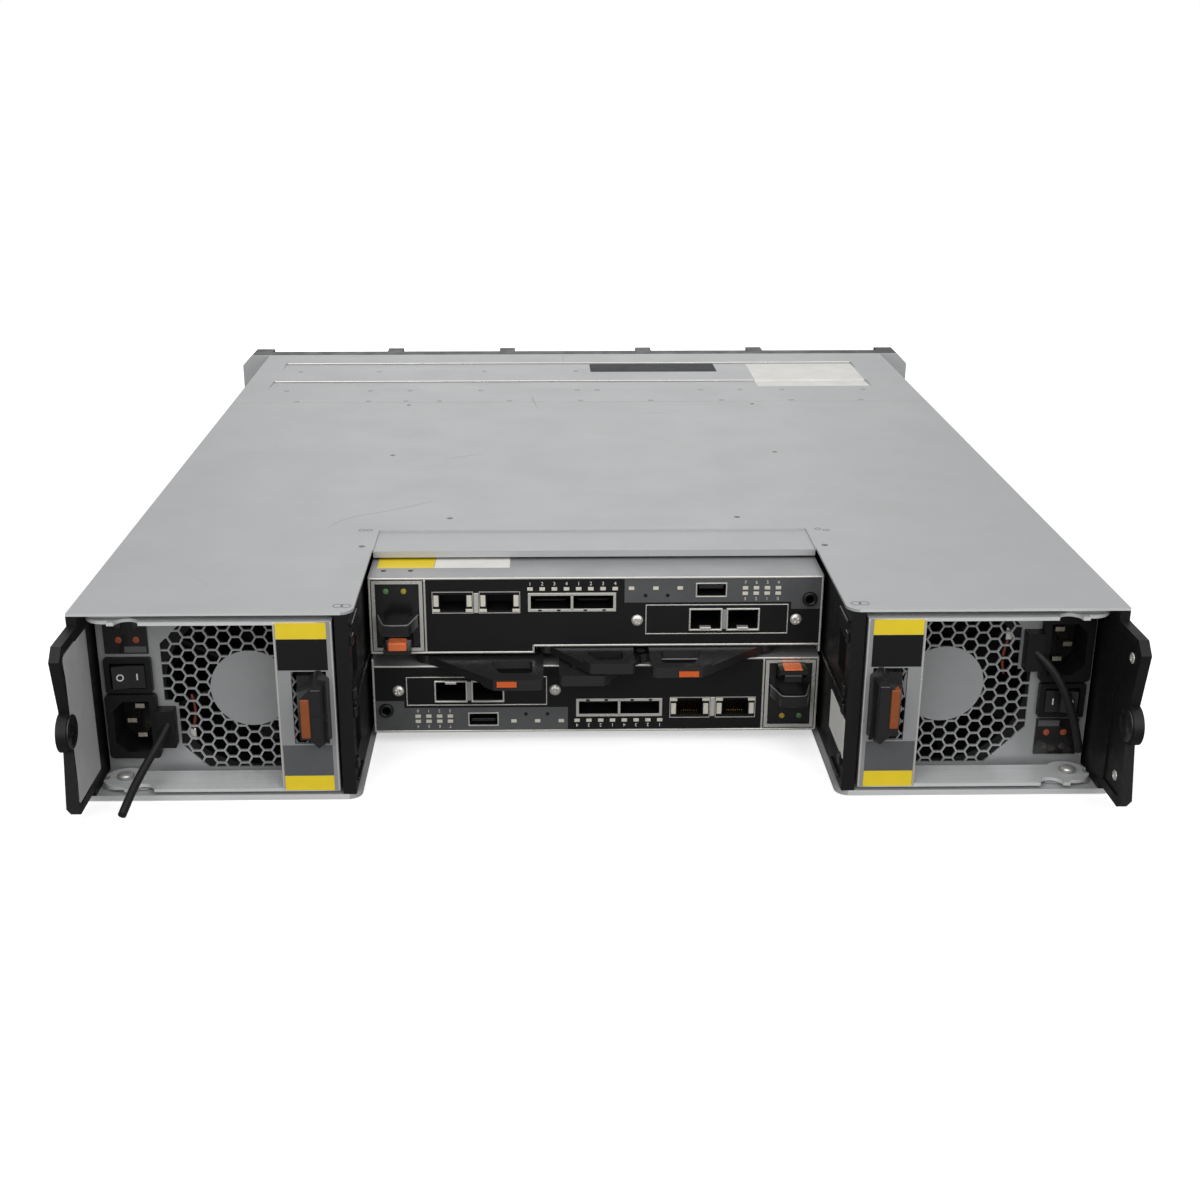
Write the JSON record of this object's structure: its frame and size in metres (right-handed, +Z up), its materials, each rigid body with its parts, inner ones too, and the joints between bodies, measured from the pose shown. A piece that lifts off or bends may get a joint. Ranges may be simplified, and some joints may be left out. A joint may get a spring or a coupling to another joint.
{
  "type": "disk shelf enclosure",
  "caption": "Rack-mount disk shelf: recessed rear with plug-in controllers between handled power modules, drive carriers in front, side guards and rack ears.",
  "frame": {"origin": "centre of the floor's underside, midway along the body and between its side walls", "axes": "+X to the right seen from the rear, +Y from the rear towards the drive front, +Z up"},
  "size_m": [0.4826, 0.5795, 0.0865],
  "materials": {
    "galvanised_sheet": "dull zinc-coated sheet",
    "black_moulding": "satin black moulding",
    "black_panel": "matt black paint",
    "cage_steel": "plain sheet",
    "board": "green circuit board",
    "inlet": "black moulding",
    "rocker": "gloss black",
    "latch": "gloss black moulding",
    "fan": "black moulding",
    "strap": "black nylon",
    "lever": "satin black moulding",
    "release": "orange",
    "io_metal": "plated sheet",
    "battery": "black with a light frame",
    "drive": "dark carrier round a cast disk"
  },
  "bodies": {
    "chassis": {"chassis_tray": "galvanised_sheet", "rear_cover": "galvanised_sheet", "front_cover": "galvanised_sheet", "front_trim": "black_moulding", "drive_cage": "cage_steel", "midplane": "board", "bay_walls": "black_moulding", "side_guards": "black_moulding"},
    "pcm_left": {"pcm_left_case": "galvanised_sheet", "pcm_left_face": "galvanised_sheet", "pcm_left_inlet": "inlet", "pcm_left_switch_panel": "inlet", "pcm_left_fan_frame": "fan", "pcm_left_supply": "board", "pcm_left_strap": "strap"},
    "pcm_left_handle": {"pcm_left_handle": "galvanised_sheet"},
    "pcm_left_latch": {"pcm_left_latch": "latch"},
    "pcm_left_switch": {"pcm_left_switch": "rocker"},
    "pcm_left_fan": {"pcm_left_fan_rotor": "fan"},
    "pcm_right": {"pcm_right_case": "galvanised_sheet", "pcm_right_face": "galvanised_sheet", "pcm_right_inlet": "inlet", "pcm_right_switch_panel": "inlet", "pcm_right_fan_frame": "fan", "pcm_right_supply": "board", "pcm_right_strap": "strap"},
    "pcm_right_handle": {"pcm_right_handle": "galvanised_sheet"},
    "pcm_right_latch": {"pcm_right_latch": "latch"},
    "pcm_right_switch": {"pcm_right_switch": "rocker"},
    "pcm_right_fan": {"pcm_right_fan_rotor": "fan"},
    "controller_upper": {"controller_upper_case": "galvanised_sheet", "controller_upper_face": "black_panel", "controller_upper_board": "board", "controller_upper_io_card": "io_metal"},
    "controller_upper_lever_long": {"controller_upper_lever_long": "lever"},
    "controller_upper_lever_short": {"controller_upper_lever_short": "lever"},
    "controller_upper_release_tab": {"controller_upper_release_tab": "release"},
    "controller_upper_battery": {"controller_upper_battery": "battery"},
    "controller_upper_battery_catch": {"controller_upper_battery_catch": "battery"},
    "controller_lower": {"controller_lower_case": "galvanised_sheet", "controller_lower_face": "black_panel", "controller_lower_board": "board", "controller_lower_io_card": "io_metal"},
    "controller_lower_lever_long": {"controller_lower_lever_long": "lever"},
    "controller_lower_lever_short": {"controller_lower_lever_short": "lever"},
    "controller_lower_release_tab": {"controller_lower_release_tab": "release"},
    "controller_lower_battery": {"controller_lower_battery": "battery"},
    "controller_lower_battery_catch": {"controller_lower_battery_catch": "battery"},
    "drive_01": {"drive_01": "drive"},
    "drive_02": {"drive_02": "drive"},
    "drive_03": {"drive_03": "drive"},
    "drive_04": {"drive_04": "drive"},
    "drive_05": {"drive_05": "drive"},
    "drive_06": {"drive_06": "drive"},
    "drive_07": {"drive_07": "drive"},
    "drive_08": {"drive_08": "drive"},
    "drive_09": {"drive_09": "drive"},
    "drive_10": {"drive_10": "drive"},
    "drive_11": {"drive_11": "drive"},
    "drive_12": {"drive_12": "drive"}
  },
  "joints": [
    {"name": "pcm_left_slide", "type": "slide", "parent": "chassis", "child": "pcm_left", "axis": [0, -1, 0], "range_m": [0, 0.3]},
    {"name": "pcm_left_handle_swing", "type": "hinge", "parent": "pcm_left", "child": "pcm_left_handle", "pos_m": [-0.207, -0.251, 0.04325], "axis": [0, 0, -1], "range_deg": [0, 45]},
    {"name": "pcm_left_latch_press", "type": "slide", "parent": "pcm_left_handle", "child": "pcm_left_latch", "axis": [1, 0, 0], "range_m": [0, 0.0025], "stiffness_N_per_m": 400},
    {"name": "pcm_left_switch_rock", "type": "hinge", "parent": "pcm_left", "child": "pcm_left_switch", "pos_m": [-0.2036, -0.2395, 0.0505], "axis": [0, 0, -1], "range_deg": [0, 14]},
    {"name": "pcm_left_fan_spin", "type": "hinge", "parent": "pcm_left", "child": "pcm_left_fan", "pos_m": [-0.1514, -0.225, 0.04325], "axis": [0, 1, 0], "continuous": true},
    {"name": "pcm_right_slide", "type": "slide", "parent": "chassis", "child": "pcm_right", "axis": [0, -1, 0], "range_m": [0, 0.3]},
    {"name": "pcm_right_handle_swing", "type": "hinge", "parent": "pcm_right", "child": "pcm_right_handle", "pos_m": [0.207, -0.251, 0.04325], "axis": [0, 0, 1], "range_deg": [0, 45]},
    {"name": "pcm_right_latch_press", "type": "slide", "parent": "pcm_right_handle", "child": "pcm_right_latch", "axis": [-1, 0, 0], "range_m": [0, 0.0025], "stiffness_N_per_m": 400},
    {"name": "pcm_right_switch_rock", "type": "hinge", "parent": "pcm_right", "child": "pcm_right_switch", "pos_m": [0.2036, -0.2395, 0.036], "axis": [0, 0, 1], "range_deg": [0, 14]},
    {"name": "pcm_right_fan_spin", "type": "hinge", "parent": "pcm_right", "child": "pcm_right_fan", "pos_m": [0.1514, -0.225, 0.04325], "axis": [0, 1, 0], "continuous": true},
    {"name": "controller_upper_slide", "type": "slide", "parent": "chassis", "child": "controller_upper", "axis": [0, -1, 0], "range_m": [0, 0.25]},
    {"name": "controller_upper_long_lever_swing", "type": "hinge", "parent": "controller_upper", "child": "controller_upper_lever_long", "pos_m": [0.077, -0.199, 0.0455], "axis": [0, 0, 1], "range_deg": [0, 55]},
    {"name": "controller_upper_short_lever_swing", "type": "hinge", "parent": "controller_upper", "child": "controller_upper_lever_short", "pos_m": [-0.021, -0.199, 0.0455], "axis": [0, 0, -1], "range_deg": [0, 55]},
    {"name": "controller_upper_release_press", "type": "slide", "parent": "controller_upper_lever_long", "child": "controller_upper_release_tab", "axis": [0, 1, 0], "range_m": [0, 0.0015], "stiffness_N_per_m": 400},
    {"name": "controller_upper_battery_slide", "type": "slide", "parent": "controller_upper", "child": "controller_upper_battery", "axis": [0, -1, 0], "range_m": [0, 0.11]},
    {"name": "controller_upper_battery_catch_lift", "type": "slide", "parent": "controller_upper_battery", "child": "controller_upper_battery_catch", "axis": [0, 0, 1], "range_m": [0, 0.0025], "stiffness_N_per_m": 400},
    {"name": "controller_lower_slide", "type": "slide", "parent": "chassis", "child": "controller_lower", "axis": [0, -1, 0], "range_m": [0, 0.25]},
    {"name": "controller_lower_long_lever_swing", "type": "hinge", "parent": "controller_lower", "child": "controller_lower_lever_long", "pos_m": [-0.077, -0.199, 0.041], "axis": [0, 0, -1], "range_deg": [0, 55]},
    {"name": "controller_lower_short_lever_swing", "type": "hinge", "parent": "controller_lower", "child": "controller_lower_lever_short", "pos_m": [0.021, -0.199, 0.041], "axis": [0, 0, 1], "range_deg": [0, 55]},
    {"name": "controller_lower_release_press", "type": "slide", "parent": "controller_lower_lever_long", "child": "controller_lower_release_tab", "axis": [0, 1, 0], "range_m": [0, 0.0015], "stiffness_N_per_m": 400},
    {"name": "controller_lower_battery_slide", "type": "slide", "parent": "controller_lower", "child": "controller_lower_battery", "axis": [0, -1, 0], "range_m": [0, 0.11]},
    {"name": "controller_lower_battery_catch_lift", "type": "slide", "parent": "controller_lower_battery", "child": "controller_lower_battery_catch", "axis": [0, 0, -1], "range_m": [0, 0.0025], "stiffness_N_per_m": 400},
    {"name": "drive_01_slide", "type": "slide", "parent": "chassis", "child": "drive_01", "axis": [0, 1, 0], "range_m": [0, 0.15]},
    {"name": "drive_02_slide", "type": "slide", "parent": "chassis", "child": "drive_02", "axis": [0, 1, 0], "range_m": [0, 0.15]},
    {"name": "drive_03_slide", "type": "slide", "parent": "chassis", "child": "drive_03", "axis": [0, 1, 0], "range_m": [0, 0.15]},
    {"name": "drive_04_slide", "type": "slide", "parent": "chassis", "child": "drive_04", "axis": [0, 1, 0], "range_m": [0, 0.15]},
    {"name": "drive_05_slide", "type": "slide", "parent": "chassis", "child": "drive_05", "axis": [0, 1, 0], "range_m": [0, 0.15]},
    {"name": "drive_06_slide", "type": "slide", "parent": "chassis", "child": "drive_06", "axis": [0, 1, 0], "range_m": [0, 0.15]},
    {"name": "drive_07_slide", "type": "slide", "parent": "chassis", "child": "drive_07", "axis": [0, 1, 0], "range_m": [0, 0.15]},
    {"name": "drive_08_slide", "type": "slide", "parent": "chassis", "child": "drive_08", "axis": [0, 1, 0], "range_m": [0, 0.15]},
    {"name": "drive_09_slide", "type": "slide", "parent": "chassis", "child": "drive_09", "axis": [0, 1, 0], "range_m": [0, 0.15]},
    {"name": "drive_10_slide", "type": "slide", "parent": "chassis", "child": "drive_10", "axis": [0, 1, 0], "range_m": [0, 0.15]},
    {"name": "drive_11_slide", "type": "slide", "parent": "chassis", "child": "drive_11", "axis": [0, 1, 0], "range_m": [0, 0.15]},
    {"name": "drive_12_slide", "type": "slide", "parent": "chassis", "child": "drive_12", "axis": [0, 1, 0], "range_m": [0, 0.15]}
  ]
}
